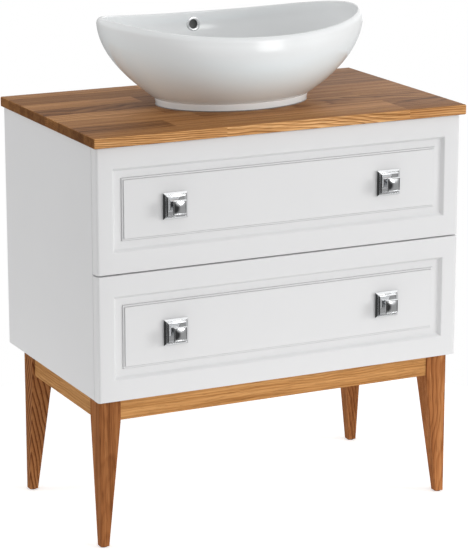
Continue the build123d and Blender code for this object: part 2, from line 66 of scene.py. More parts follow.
# ---------------- materials
class Graph:
    """A material's node tree round one Principled shader, made a node at a time."""

    def __init__(self, name: str, **shader: object) -> None:
        """Start a material.

        Args:
            name: the material's name.
            shader: constants for the Principled shader's own sockets, with _ for a space.
        """
        self.material = bpy.data.materials.new(name)
        self.material.use_nodes = True
        self.tree = self.material.node_tree
        self.tree.nodes.clear()
        output = self.tree.nodes.new("ShaderNodeOutputMaterial")
        self.shader = self.tree.nodes.new("ShaderNodeBsdfPrincipled")
        self.tree.links.new(self.shader.outputs["BSDF"], output.inputs["Surface"])
        for key, value in shader.items():
            self.set(self.shader, key.replace("_", " "), value)

    def set(self, node: bpy.types.Node, socket: str | int, value: object) -> None:
        """Give a socket a constant, or link it if the value is another node's output.

        Args:
            node: the node that owns the socket.
            socket: the input's name or number.
            value: a number, a colour or an output socket.
        """
        target = node.inputs[socket]
        if isinstance(value, NodeSocket):
            self.tree.links.new(value, target)
        elif isinstance(value, (tuple, list)) and target.type == "RGBA" and len(value) == 3:
            target.default_value = (*value, 1.0)
        else:
            target.default_value = value

    def node(self, kind: str, inputs: dict[str | int, object], **settings: object) -> bpy.types.Node:
        """Add a node.

        Args:
            kind: the node's type without its ShaderNode prefix.
            inputs: constants or outputs for its sockets.
            settings: its own properties.

        Returns:
            The new node.
        """
        made = self.tree.nodes.new("ShaderNode" + kind)
        for key, value in settings.items():
            setattr(made, key, value)
        for socket, value in inputs.items():
            self.set(made, socket, value)
        return made

    def place(self, scale: Sequence[float], shift: object = None) -> NodeSocket:
        """Object coordinates in metres, moved by an optional vector and then stretched.

        Args:
            scale: cycles per metre along X, Y and Z.
            shift: an output socket that is added first.

        Returns:
            The coordinates.
        """
        spot = self.node("TexCoord", {}).outputs["Object"]
        if shift is not None:
            spot = self.node("VectorMath", {0: spot, 1: shift}, operation="ADD").outputs[0]
        return self.node("VectorMath", {0: spot, 1: tuple(scale)}, operation="MULTIPLY").outputs[0]

    def noise(self, vector: object, detail: float = 2.0, roughness: float = 0.5, distortion: float = 0.0,
              scale: float = 1.0) -> NodeSocket:
        """A noise texture's height, from 0 to 1.

        Args:
            vector: where to read it.
            detail: octaves.
            roughness: how strong the fine octaves are.
            distortion: how far it is warped.
            scale: cycles per unit of the vector.

        Returns:
            The height.
        """
        sockets = {"Vector": vector, "Scale": scale, "Detail": detail, "Roughness": roughness,
                   "Distortion": distortion}
        return self.node("TexNoise", sockets).outputs["Fac"]

    def maths(self, operation: str, first: object, second: object = 0.0) -> NodeSocket:
        """One sum of two values, which may be sockets or numbers."""
        return self.node("Math", {0: first, 1: second}, operation=operation).outputs[0]

    def span(self, value: object, low: float, high: float, to_low: float = 0.0,
             to_high: float = 1.0) -> NodeSocket:
        """Stretch a value's range onto another range, clamped.

        Args:
            value: what is stretched.
            low: the value that becomes to_low.
            high: the value that becomes to_high.
            to_low: the new lowest value.
            to_high: the new highest value.

        Returns:
            The stretched value.
        """
        sockets = {0: value, 1: low, 2: high, 3: to_low, 4: to_high}
        return self.node("MapRange", sockets, interpolation_type="SMOOTHSTEP").outputs[0]

    def ramp(self, share: object, stops: Sequence[tuple[float, Colour]]) -> NodeSocket:
        """A colour ramp.

        Args:
            share: where on the ramp, from 0 to 1.
            stops: positions and colours, in order.

        Returns:
            The colour.
        """
        made = self.node("ValToRGB", {"Fac": share})
        bar = made.color_ramp.elements
        while len(bar) < len(stops):
            bar.new(0.5)
        for stop, (position, colour) in zip(bar, stops):
            stop.position = position
            stop.color = (*colour, 1.0)
        return made.outputs["Color"]

    def mix(self, share: object, first: object, second: object,
            blend: str = "MIX") -> NodeSocket:
        """Mix two colours.

        Args:
            share: how much of the second.
            first: the first colour.
            second: the second colour.
            blend: the blend mode.

        Returns:
            The mixed colour.
        """
        sockets = {0: share, 6: first, 7: second}
        return self.node("Mix", sockets, data_type="RGBA", blend_type=blend).outputs[2]

    def bump(self, height: object, strength: float, distance: float) -> None:
        """Roughen the shader's normal.

        Args:
            height: the height texture.
            strength: how much of it shows.
            distance: its depth in metres.
        """
        made = self.node("Bump", {"Height": height, "Strength": strength, "Distance": distance})
        self.set(self.shader, "Normal", made.outputs["Normal"])


class Grain(Enum):
    """The axis that a board's fibres run along."""

    X = 0
    Y = 1
    Z = 2

    def stretch(self, along: float, across: float) -> list[float]:
        """Cycles per metre on each axis: few along the fibres, many across them.

        Args:
            along: cycles per metre along the fibres.
            across: cycles per metre across them.

        Returns:
            The cycles along X, Y and Z.
        """
        scale = [across] * 3
        scale[self.value] = along
        return scale


RING_STOPS = [(0.0, (0.25,) * 3), (0.30, (0.62,) * 3), (0.78, (0.75,) * 3), (1.0, (0.25,) * 3)]
RING_WARP = 0.02
TONE_STOPS = (0.40, 0.52, 0.63)
# Stave tone multipliers; the palest, coolest stops are reached only by the painted light on the worktop's
# front faces.
STAVE_TONES_WITH_FRONT_LIGHT = [(0.0, (0.44, 0.38, 0.32)), (0.5, (0.84, 0.82, 0.78)), (0.8, (1.10, 1.13, 1.18)),
               (1.0, (1.45, 1.66, 1.95))]
PORE_DARKNESS = 0.4
PORE_SHARE = 0.5
END_GRAIN_TINT = (0.52, 0.47, 0.40)
END_GRAIN_SHARE = 0.85
STAVE_SHEEN, PLAIN_SHEEN = 0.08, 0.04
# Normal Z at which the painted underside light is full, and where it is gone.
PAINTED_UNDERSIDE_FULL, PAINTED_UNDERSIDE_NONE = -0.75, 0.1
SIDE_RAIL_TONE = 0.8


@dataclass(frozen=True)
class OakFinish:
    """Oiled oak: growth rings round a tilted pith, fine fibres, dark open pores and darker end grain."""

    name: str
    grain: Grain
    light: Colour
    middle: Colour
    dark: Colour
    pith: Sequence[float] = (0.25, 0.33, -0.20)
    tilt: float = 0.03
    rings: float = 260.0
    ring_depth: float = 0.30
    roughness: float = 0.6
    staves: bool = False

    def growth(self, graph: Graph, shift: NodeSocket | None) -> NodeSocket:
        """Rings round an axis that leans across the fibres, so that flat faces show arches.

        Args:
            graph: the material's graph.
            shift: what moves one stave's figure away from another's.

        Returns:
            The rings, from 0 to 1.
        """
        spot = graph.place([1.0] * 3, shift)
        wander = graph.place(self.grain.stretch(5.0, 14.0), shift)
        sockets = {"Vector": wander, "Scale": 1.0, "Detail": 2.5, "Roughness": 0.5}
        warp = graph.node("TexNoise", sockets).outputs["Color"]
        bend = graph.node("VectorMath", {0: warp, 1: (0.5, 0.5, 0.5)}, operation="SUBTRACT").outputs[0]
        bend = graph.node("VectorMath", {0: bend, "Scale": RING_WARP}, operation="SCALE").outputs[0]
        spot = graph.node("VectorMath", {0: spot, 1: bend}, operation="ADD").outputs[0]
        spot = graph.node("VectorMath", {0: spot, 1: tuple(self.pith)}, operation="SUBTRACT").outputs[0]
        parts = graph.node("SeparateXYZ", {0: spot}).outputs
        along = parts[self.grain.value]
        across = [graph.maths("ADD", parts[axis], graph.maths("MULTIPLY", along, self.tilt))
                  for axis in range(3) if axis != self.grain.value]
        squares = [graph.maths("MULTIPLY", part, part) for part in across]
        distance = graph.maths("SQRT", graph.maths("ADD", *squares))
        wave = graph.maths("FRACT", graph.maths("MULTIPLY", distance, self.rings))
        return graph.ramp(wave, RING_STOPS)

    def material(self) -> Material:
        """Build the node material.

        Returns:
            The material.
        """
        graph = Graph(self.name, Specular_IOR_Level=STAVE_SHEEN if self.staves else PLAIN_SHEEN)
        shift = None
        if self.staves:
            shift = graph.node("Attribute", {}, attribute_name="stave_shift").outputs["Vector"]
        rings = self.growth(graph, shift)
        fibres = graph.noise(graph.place(self.grain.stretch(7.0, 420.0), shift), 4.0, 0.65)
        streaks = graph.noise(graph.place(self.grain.stretch(1.6, 60.0), shift), 3.0, 0.6, 0.2)
        half_rest = (1 - self.ring_depth) / 2
        tone = graph.maths("MULTIPLY", rings, self.ring_depth)
        tone = graph.maths("ADD", tone, graph.maths("MULTIPLY", fibres, half_rest))
        tone = graph.maths("ADD", tone, graph.maths("MULTIPLY", streaks, half_rest))
        colour = graph.ramp(tone, list(zip(TONE_STOPS, (self.dark, self.middle, self.light))))
        pores = graph.noise(graph.place(self.grain.stretch(30.0, 1300.0), shift), 1.5, 0.5)
        pores = graph.span(pores, 0.58, 0.68)
        pore_colour = tuple(c * PORE_DARKNESS for c in self.dark)
        colour = graph.mix(graph.maths("MULTIPLY", pores, PORE_SHARE), colour, pore_colour)
        if self.staves:
            # Stave tone: each stave's own random tone, plus painted light that makes front faces paler
            # and cooler.
            tone_and_front_light_share = graph.node("Attribute", {}, attribute_name="stave_tone_and_front_light").outputs["Fac"]
            tones = graph.ramp(tone_and_front_light_share, STAVE_TONES_WITH_FRONT_LIGHT)
            colour = graph.mix(1.0, colour, tones, "MULTIPLY")
        normal = graph.node("NewGeometry", {}).outputs["Normal"]
        split = graph.node("SeparateXYZ", {0: normal})
        end_grain = graph.span(graph.maths("ABSOLUTE", split.outputs[self.grain.value]), 0.75, 0.97)
        share = graph.maths("MULTIPLY", end_grain, END_GRAIN_SHARE)
        colour = graph.mix(share, colour, END_GRAIN_TINT, "MULTIPLY")
        graph.set(graph.shader, "Base Color", colour)
        rough = graph.maths("ADD", graph.maths("MULTIPLY", fibres, 0.22), self.roughness - 0.11)
        graph.set(graph.shader, "Roughness", rough)
        height = graph.maths("SUBTRACT", graph.maths("MULTIPLY", fibres, 0.4), pores)
        graph.bump(height, 0.35, 0.00025)
        return graph.material


@dataclass(frozen=True)
class CoatedFinish:
    """A smooth coating: lacquer, melamine, plastic, rubber or glaze, with optional painted light on its
    down-facing side.
    """

    name: str
    colour: Colour
    roughness: float
    peel: float = 0.04
    peel_scale: float = 420.0
    coat: float = 0.0
    speckle: float = 0.03
    painted_underside_light: Colour | None = None
    coat_roughness: float = 0.05

    def material(self) -> Material:
        """Build the node material.

        Returns:
            The material.
        """
        graph = Graph(self.name, Coat_Weight=self.coat, Coat_Roughness=self.coat_roughness)
        mottle = graph.noise(graph.place([9.0] * 3), 3.0, 0.5)
        low = tuple(c * (1 - self.speckle) for c in self.colour)
        tint = graph.ramp(mottle, [(0.3, low), (0.7, self.colour)])
        # Painted light: down-facing surfaces get a lighter, cooler colour that cancels the warm, dim
        # bounce from the oak below.
        if self.painted_underside_light:
            normal = graph.node("SeparateXYZ", {0: graph.node("NewGeometry", {}).outputs["Normal"]})
            share = graph.span(normal.outputs["Z"], PAINTED_UNDERSIDE_FULL, PAINTED_UNDERSIDE_NONE, 1.0, 0.0)
            tint = graph.mix(share, tint, self.painted_underside_light)
        graph.set(graph.shader, "Base Color", tint)
        grit = graph.noise(graph.place([self.peel_scale] * 3), 2.0, 0.5)
        rough = graph.span(grit, 0.3, 0.7, self.roughness * 0.92, self.roughness * 1.08)
        graph.set(graph.shader, "Roughness", rough)
        graph.bump(grit, self.peel, 0.0002)
        return graph.material


@dataclass(frozen=True)
class MetalFinish:
    """Plated or bare metal, with faint handling marks in its gloss."""

    name: str
    colour: Colour
    roughness: float
    smudge: float = 0.03
    brushed: Grain | None = None

    def material(self) -> Material:
        """Build the node material.

        Returns:
            The material.
        """
        graph = Graph(self.name, Metallic=1.0)
        scale = self.brushed.stretch(8.0, 900.0) if self.brushed else [60.0] * 3
        marks = graph.noise(graph.place(scale), 3.0, 0.6)
        worn = tuple(c * 0.93 for c in self.colour)
        graph.set(graph.shader, "Base Color", graph.ramp(marks, [(0.35, worn), (0.65, self.colour)]))
        high = self.roughness + self.smudge
        graph.set(graph.shader, "Roughness", graph.span(marks, 0.3, 0.7, self.roughness, high))
        graph.bump(marks, 0.12 if self.brushed else 0.01, 0.0001)
        return graph.material


@dataclass(frozen=True)
class LegLook:
    """How one leg was cut: its pith's place and lean, its rings per metre, their contrast, its tone."""

    node: str
    pith: Sequence[float]
    tilt: float
    rings: float
    depth: float
    tone: float


LEG_LOOKS = (
    LegLook("leg_front_left", (-0.37, 0.35, 0.10), 0.02, 330.0, 0.12, 0.97),
    LegLook("leg_front_right", (0.30, 0.10, 0.10), 0.03, 300.0, 0.24, 1.18),
    LegLook("leg_rear_left", (-0.345, 0.185, 0.55), 0.16, 165.0, 0.62, 0.78),
    LegLook("leg_rear_right", (0.30, 0.35, 0.20), 0.04, 300.0, 0.26, 0.86),
)


@dataclass
class Finishes:
    """Every finish on the object, made once."""

    made: dict[str, Material] = field(default_factory=dict)

    def __post_init__(self) -> None:
        """Make the materials, keyed by a short name."""
        top = self.tones((0.60, 0.315, 0.125), (0.42, 0.185, 0.060), (0.20, 0.076, 0.020))
        rail = self.tones((0.64, 0.34, 0.13), (0.53, 0.26, 0.092), (0.36, 0.16, 0.05))
        beech = self.tones((0.66, 0.47, 0.28), (0.58, 0.39, 0.22), (0.46, 0.29, 0.15))
        leg = self.tones((0.40, 0.17, 0.062), (0.29, 0.108, 0.036), (0.15, 0.048, 0.015))
        finishes = {
            "worktop_oak": OakFinish("oak_worktop", Grain.X, roughness=0.55, staves=True, **top),
            "rail_oak_x": OakFinish("oak_rail_long", Grain.X, ring_depth=0.2, **rail),
            "rail_oak_y": OakFinish("oak_rail_side", Grain.Y, ring_depth=0.2,
                                    **self.tones(*rail.values(), SIDE_RAIL_TONE)),
            "beech": OakFinish("beech_block", Grain.X, **beech),
            "white_lacquer": CoatedFinish("lacquer_white", (0.745, 0.745, 0.75), 0.38, peel=0.05,
                                          peel_scale=700.0, coat=0.12, speckle=0.012),
            "white_board": CoatedFinish("board_white", (0.70, 0.70, 0.69), 0.5, peel=0.12,
                                        peel_scale=1300.0),
            "drawer_board": CoatedFinish("board_drawer", (0.46, 0.455, 0.44), 0.5, peel=0.2,
                                         peel_scale=1500.0, speckle=0.08),
            # The glaze's underside colour is painted light: lighter and cooler than the glaze itself.
            "white_glaze": CoatedFinish("glaze_white", (0.83, 0.845, 0.85), 0.16, peel=0.02,
                                        peel_scale=26.0, coat=0.35, speckle=0.01,
                                        painted_underside_light=(0.87, 0.965, 1.0), coat_roughness=0.15),
            "chrome": MetalFinish("chrome_polished", (0.86, 0.87, 0.88), 0.035, smudge=0.02),
            "zinc_steel": MetalFinish("steel_zinc", (0.60, 0.61, 0.63), 0.3, smudge=0.1,
                                      brushed=Grain.Y),
            "nut_brass": MetalFinish("brass_nut", (0.72, 0.50, 0.20), 0.25, smudge=0.1),
            "black_rubber": CoatedFinish("rubber_black", (0.03, 0.03, 0.03), 0.65, peel=0.3,
                                         peel_scale=900.0, speckle=0.2),
            # Painted shadow: the bead is dark brown to stand for the contact shadow under the basin's
            # foot.
            "clear_silicone": CoatedFinish("silicone_bead_painted_shadow", (0.16, 0.13, 0.11), 0.3, peel=0.05,
                                           peel_scale=300.0, coat=0.2),
            # Painted shade: a dark clay colour for the unlit duct behind the overflow.
            "duct_shade": CoatedFinish("clay_in_shade", (0.14, 0.14, 0.14), 0.8, peel=0.2,
                                       peel_scale=500.0, speckle=0.1),
            "glide_plastic": CoatedFinish("plastic_glide", (0.03, 0.025, 0.02), 0.55, peel=0.3,
                                          peel_scale=1100.0, speckle=0.2),
        }
        for look in LEG_LOOKS:
            finishes[look.node] = OakFinish(f"oak_{look.node}", Grain.Z, pith=look.pith, tilt=look.tilt,
                                            rings=look.rings, ring_depth=look.depth,
                                            **self.tones(*leg.values(), look.tone))
        self.made = {key: finish.material() for key, finish in finishes.items()}

    @staticmethod
    def tones(light: Colour, middle: Colour, dark: Colour, tone: float = 1.0) -> dict[str, Colour]:
        """An oak's three tones, each made lighter or darker by the same factor."""
        named = {"light": light, "middle": middle, "dark": dark}
        return {key: tuple(c * tone for c in colour) for key, colour in named.items()}

    def __getitem__(self, key: str) -> Material:
        """The material of that name."""
        return self.made[key]


# ---------------- shared modelling helpers
def make_piece(bm: BMesh, name: str, material: Material, body: str,
               replaces: Iterable[str] = (), sharp_degrees: float = 32.0) -> bpy.types.Object:
    """Turn a bmesh into a finished piece that rides on a body.

    Args:
        bm: the shape, in metres, in the row's frame. It is freed.
        name: the piece's name.
        material: its finish.
        body: the CAD body that carries it.
        replaces: the CAD nodes that it stands for.
        sharp_degrees: edges that turn more than this stay sharp.

    Returns:
        The object.
    """
    bmesh.ops.recalc_face_normals(bm, faces=bm.faces)
    mesh = bpy.data.meshes.new(name)
    bm.to_mesh(mesh)
    bm.free()
    mesh.materials.append(material)
    mesh.shade_smooth()
    mesh.set_sharp_from_angle(angle=math.radians(sharp_degrees))
    piece = bpy.data.objects.new(name, mesh)
    bpy.context.scene.collection.objects.link(piece)
    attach(piece, body)
    if replaces:
        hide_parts(*replaces)
    LOG.info("%s: %d faces on %s", name, len(mesh.polygons), body)
    return piece


def block(bm: BMesh, low: Vector, high: Vector) -> None:
    """Add a box between two corners.

    Args:
        bm: the mesh it joins.
        low: its lowest corner.
        high: its highest corner.
    """
    verts = bmesh.ops.create_cube(bm, size=1.0)["verts"]
    bmesh.ops.scale(bm, vec=high - low, verts=verts)
    bmesh.ops.translate(bm, vec=(low + high) / 2, verts=verts)


def cylinder(bm: BMesh, radius: float, depth: float, place: Matrix,
             segments: int = 48) -> None:
    """Add a closed cylinder.

    Args:
        bm: the mesh it joins.
        radius: its radius.
        depth: its length along its own Z.
        place: where its middle goes and how it is turned.
        segments: faces round it.
    """
    bmesh.ops.create_cone(bm, cap_ends=True, segments=segments, radius1=radius, radius2=radius,
                          depth=depth, matrix=place)


def wrap_grid(bm: BMesh, around: int, along: int,
              place: Callable[[float, float], Vector]) -> None:
    """Bend a flat grid into a surface and weld its seams.

    Args:
        bm: the mesh it joins.
        around: faces one way.
        along: faces the other way.
        place: where a point at shares (u, v), each from 0 to 1, goes.
    """
    verts = bmesh.ops.create_grid(bm, x_segments=around, y_segments=along, size=0.5)["verts"]
    for vert in verts:
        vert.co = place(vert.co.x + 0.5, vert.co.y + 0.5)
    bmesh.ops.remove_doubles(bm, verts=verts, dist=WELD)


def spin_profile(bm: BMesh, profile: Points, steps: int) -> None:
    """Turn a closed ring of points a full turn about the vertical through the origin.

    Args:
        bm: the mesh it joins.
        profile: (radius, height) points in order, with the first not repeated.
        steps: faces round the turn.
    """
    verts = [bm.verts.new((radius, 0, height)) for radius, height in profile]
    edges = [bm.edges.new(pair) for pair in zip(verts, verts[1:] + verts[:1])]
    bmesh.ops.spin(bm, geom=verts + edges, cent=(0, 0, 0), axis=(0, 0, 1), angle=math.tau, steps=steps,
                   use_merge=True)
    bmesh.ops.remove_doubles(bm, verts=bm.verts[:], dist=WELD)


def bevel_edges(bm: BMesh, edges: Iterable[bmesh.types.BMEdge], width: float,
                segments: int) -> None:
    """Round edges by a width in metres."""
    bmesh.ops.bevel(bm, geom=list(edges), offset=width, offset_type="OFFSET", segments=segments,
                    profile=0.5, affect="EDGES", clamp_overlap=True, material=-1)


def cut(bm: BMesh, faces: list[BMFace], point: Vector, normal: Vector) -> None:
    """Cut faces along a plane without parting them.

    Args:
        bm: the mesh.
        faces: the faces to cut.
        point: a point of the plane.
        normal: the plane's normal.
    """
    edges = list(dict.fromkeys(edge for face in faces for edge in face.edges))
    verts = list(dict.fromkeys(vert for face in faces for vert in face.verts))
    bmesh.ops.bisect_plane(bm, geom=verts + edges + faces, plane_co=point, plane_no=normal,
                           dist=ON_PLANE)


def bore(piece: bpy.types.Object, drill: BMesh, sharp_degrees: float = 40.0) -> None:
    """Cut a shape out of a piece for good.

    Args:
        piece: the piece that gets the hole.
        drill: the shape that is cut away. It is freed.
        sharp_degrees: edges that turn more than this are sharp afterwards.
    """
    mesh = bpy.data.meshes.new("drill")
    drill.to_mesh(mesh)
    drill.free()
    tool = bpy.data.objects.new("drill", mesh)
    bpy.context.scene.collection.objects.link(tool)
    hole = piece.modifiers.new("bore", "BOOLEAN")
    hole.operation, hole.solver, hole.object = "DIFFERENCE", "EXACT", tool
    bpy.context.view_layer.update()
    made = piece.evaluated_get(bpy.context.evaluated_depsgraph_get())
    finished = bpy.data.meshes.new_from_object(made)
    finished.set_sharp_from_angle(angle=math.radians(sharp_degrees))
    piece.modifiers.remove(hole)
    old, piece.data = piece.data, finished
    bpy.data.objects.remove(tool)
    for spare in (old, mesh):
        bpy.data.meshes.remove(spare)


# ---------------- worktop
@dataclass
class Worktop:
    """The glued oak board: staves that run along X, butt-jointed at random lengths."""

    rows: Sequence[float] = (0.100, 0.235, 0.370, 0.505, 0.640, 0.770, 0.905)
    edge_round: float = 2.5 * MM
    joints_per_row: tuple[int, int] = (1, 2)
    joint_spread: tuple[float, float] = (0.25, 0.75)
    tone_spread: tuple[float, float] = (0.08, 0.80)
    figure_reach: float = 3.0
    # How much paler the front-facing faces become: painted light.
    front_painted_light: float = 0.55
    hole_radius: float = 25 * MM
    seed: int = 11

    def build(self, finishes: Finishes) -> None:
        """Cut one slab into staves, give each its own tone and grain, paint light onto the front faces,
        and round the slab's edges.

        Args:
            finishes: the finishes.
        """
        low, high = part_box("worktop")
        size = high - low
        rng = random.Random(self.seed)
        bm = bmesh.new()
        block(bm, low, high)
        cuts = [low.y + share * size.y for share in self.rows]
        for y in cuts:
            cut(bm, bm.faces[:], Vector((0, y, 0)), Vector((0, 1, 0)))
        bounds = [low.y, *cuts, high.y]
        for y0, y1 in zip(bounds, bounds[1:]):
            count = rng.randint(*self.joints_per_row)
            for joint in range(count):
                share = (joint + rng.uniform(*self.joint_spread)) / count
                strip = [f for f in bm.faces if y0 < f.calc_center_median().y < y1]
                cut(bm, strip, Vector((low.x + share * size.x, 0, 0)), Vector((1, 0, 0)))
        tone = bm.faces.layers.float.new("stave_tone_and_front_light")
        shift = bm.faces.layers.float_vector.new("stave_shift")
        looks: dict[tuple[int, int], tuple[float, Vector]] = {}
        for face in bm.faces:
            key = self.stave_of(face, bounds)
            if key not in looks:
                own_tone = rng.uniform(*self.tone_spread)
                figure = Vector([rng.uniform(-self.figure_reach, self.figure_reach) for _ in range(3)])
                looks[key] = (own_tone, figure)
            face[tone], face[shift] = looks[key]
            # Painted light: faces that look to the front get a paler, cooler tone.
            face[tone] += self.front_painted_light * max(0.0, -face.normal.y)
        outline = [e for e in bm.edges if e.is_manifold and e.calc_face_angle() > 1.0]
        bevel_edges(bm, outline, self.edge_round, 4)
        board = make_piece(bm, "worktop_board", finishes["worktop_oak"], "cabinet",
                           ["worktop"])
        basin_low, basin_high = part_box("basin")
        middle = (basin_low + basin_high) / 2
        drill = bmesh.new()
        place = Matrix.Translation((middle.x, middle.y, low.z))
        cylinder(drill, self.hole_radius, 2 * size.z, place, 64)
        bore(board, drill)

    @staticmethod
    def stave_of(face: BMFace, bounds: list[float]) -> tuple[int, int]:
        """Which stave a face belongs to, by its row and its place along the row.

        Args:
            face: a face of the slab.
            bounds: the Y of every edge between rows, ends included.

        Returns:
            The row's number and the stave's middle in millimetres.
        """
        centre = face.calc_center_median()
        row = sum(centre.y > edge for edge in bounds[1:-1])
        ends = sorted(v.co.x for v in face.verts)
        return row, round((ends[0] + ends[-1]) / 2 / MM)


# ---------------- basin
@dataclass
class VesselBasin:
    """The boat-shaped basin: an oval foot, a flared wall and a rim that dips between raised ends."""

    foot_half: Vector = field(default_factory=lambda: Vector((161 * MM, 120 * MM, 0)))
    foot_height: float = 15 * MM
    foot_taper: float = 3.5 * MM
    rim_low: float = 155 * MM
    rim_power: float = 2.3
    shoulder_height: float = 12 * MM
    shoulder_width: float = 9 * MM
    rim_thick: float = 12 * MM
    floor_height: float = 34 * MM
    floor_wall: float = 87 * MM
    recess: float = 10 * MM
    drain_radius: float = 23 * MM
    end_roundness: float = 0.85
    side_roundness: float = 1.55
    overflow_height: float = 129.5 * MM
    hole_radius: float = 12 * MM
    ring_radius: float = 15.5 * MM
    ring_opening: float = 9 * MM
    ring_rise: float = 2.8 * MM
    ring_tail: float = 6.5 * MM
    pocket: float = 9 * MM
    rim_drop: float = 3 * MM
    wall_power: float = 2.2
    wall_rows: int = 24
    rim_rows: int = 7
    foot_ledge: float = 20 * MM
    dish: float = 8 * MM

    def __post_init__(self) -> None:
        """Read the size and the place from the frame."""
        low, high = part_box("basin")
        self.centre = Vector(((low.x + high.x) / 2, (low.y + high.y) / 2, low.z))
        self.half = Vector(((high.x - low.x) / 2, (high.y - low.y) / 2, 0))
        self.rim_high = high.z - low.z

    def rim(self, angle: float) -> float:
        """Height of the rim's top at an angle round the bowl."""
        return self.rim_low + (self.rim_high - self.rim_low) * abs(math.cos(angle)) ** self.rim_power

    def shoulder(self, angle: float) -> float:
        """Height at which the wall starts to turn over into the rim."""
        return self.rim(angle) - self.shoulder_height

    def half_axes(self, angle: float, height: float) -> Vector:
        """Half axes of the outer oval that passes a height at an angle.

        Args:
            angle: where round the basin, in radians, from +X.
            height: the height on the wall.

        Returns:
            The half axes along X and Y.
        """
        share = min(1.0, (height - self.foot_height) / (self.shoulder(angle) - self.foot_height))
        change = self.end_roundness - self.side_roundness
        roundness = self.side_roundness + change * math.cos(angle) ** 2
        return self.foot_half.lerp(self.half, share * (1 + roundness - roundness * share))

    def outer(self, angle: float, share: float) -> Vector:
        """A point of the outer wall at a share of the height from foot to shoulder."""
        height = self.foot_height + (self.shoulder(angle) - self.foot_height) * share
        return self.oval(angle, self.half_axes(angle, height), height)

    def inner(self, angle: float, share: float) -> Vector:
        """A point of the inner wall at a share of the height from floor to rim.

        Args:
            angle: where round the basin, in radians, from +X.
            share: 0 at the bowl's floor, 1 at the rim.

        Returns:
            The point.
        """
        height = self.floor_height + (self.rim(angle) - self.rim_drop - self.floor_height) * share
        axes = self.half_axes(angle, height)
        wall = self.rim_thick + (self.floor_wall - self.rim_thick) * (1 - share) ** self.wall_power
        return self.oval(angle, axes - Vector((wall, wall, 0)), height)

    def lip(self, angle: float, turn: float) -> Vector:
        """A point of the rim, from the shoulder (0) over the top (1) to the inner edge (2).

        Args:
            angle: where round the basin, in radians, from +X.
            turn: how far over the rim.

        Returns:
            The point.
        """
        outward = min(1.0, turn) * math.pi / 2
        inward = max(0.0, turn - 1.0) * math.pi / 2
        edge = self.rim_thick - self.shoulder_width
        set_in = self.shoulder_width * (1 - math.cos(outward)) + edge * math.sin(inward)
        height = self.shoulder(angle) + self.shoulder_height * math.sin(outward)
        height -= self.rim_drop * (1 - math.cos(inward))
        return self.oval(angle, self.half_axes(angle, height) - Vector((set_in, set_in, 0)), height)

    def oval(self, angle: float, axes: Vector, height: float) -> Vector:
        """A point of a level oval."""
        return Vector((axes.x * math.cos(angle), axes.y * math.sin(angle), height))

    def stations(self) -> list[Callable[[float], Vector]]:
        """The section as functions of the angle: foot, outer wall, rim, inner wall, drain.

        Returns:
            One function of the angle for each of the section's points.
        """
        even = Vector((1, 1, 0))
        foot = self.foot_half - even * 0.5 * MM
        ledge = foot - even * self.foot_ledge
        drain = even * self.drain_radius
        floor_lip = drain + even * self.dish
        spots: list[Callable[[float], Vector]] = []

        def level(axes: Vector, height: float) -> None:
            """Add a level oval to the section."""
            spots.append(lambda angle: self.oval(angle, axes, height))

        level(foot - even * (self.foot_taper + 1.2 * MM), 0.0)
        level(foot - even * (self.foot_taper + 0.3 * MM), 0.5 * MM)
        for share in (0.12, 0.5, 0.78, 0.92):
            level(foot - even * self.foot_taper * (1 - share), self.foot_height * share)
        level(foot - even * 0.3 * MM, self.foot_height * 0.985)
        for step in range(self.wall_rows + 1):
            spots.append(lambda angle, share=step / self.wall_rows: self.outer(angle, share))
        for step in range(1, 2 * self.rim_rows + 1):
            spots.append(lambda angle, turn=step / self.rim_rows: self.lip(angle, turn))
        for step in range(1, self.wall_rows + 1):
            spots.append(lambda angle, share=1 - step / self.wall_rows: self.inner(angle, share))
        for blend in (0.25, 0.5, 0.75, 1.0):
            spots.append(lambda angle, blend=blend: self.inner(angle, 0.0).lerp(
                self.oval(angle, floor_lip, self.floor_height - 0.5 * MM), blend))
        level(drain + even * 1.5 * MM, self.floor_height - 1.0 * MM)
        level(drain, self.floor_height - 2.5 * MM)
        level(drain, self.recess)
        level(ledge, self.recess)
        level(ledge, 0.0)
        spots.append(spots[0])
        return spots

    def overflow_seat(self) -> Matrix:
        """The overflow's place on the back of the bowl: its own +Z looks out of the wall.

        Returns:
            The placement.
        """
        back = math.pi / 2
        wall_height = self.rim(back) - self.rim_drop - self.floor_height
        share = (self.overflow_height - self.floor_height) / wall_height
        above, below = self.inner(back, share + 0.04), self.inner(back, share - 0.04)
        normal = Vector((1, 0, 0)).cross(above - below).normalized()
        turn = Vector((0, 0, 1)).rotation_difference(normal).to_matrix().to_4x4()
        return Matrix.Translation(self.centre + self.inner(back, share)) @ turn

    def build(self, finishes: Finishes) -> None:
        """Make the basin, bore its overflow hole, set the ring in it and seal the foot.

        Args:
            finishes: the finishes.
        """
        spots = self.stations()
        count = len(spots) - 1
        bm = bmesh.new()
        wrap_grid(bm, 180, count, lambda u, v: self.centre + spots[round(v * count)](u * math.tau))
        basin = make_piece(bm, "basin_body", finishes["white_glaze"], "cabinet",
                           ["basin"], 50.0)
        drill = bmesh.new()
        cylinder(drill, self.hole_radius, 2 * self.pocket, self.overflow_seat())
        bore(basin, drill)
        self.overflow(finishes)
        self.bead(finishes)

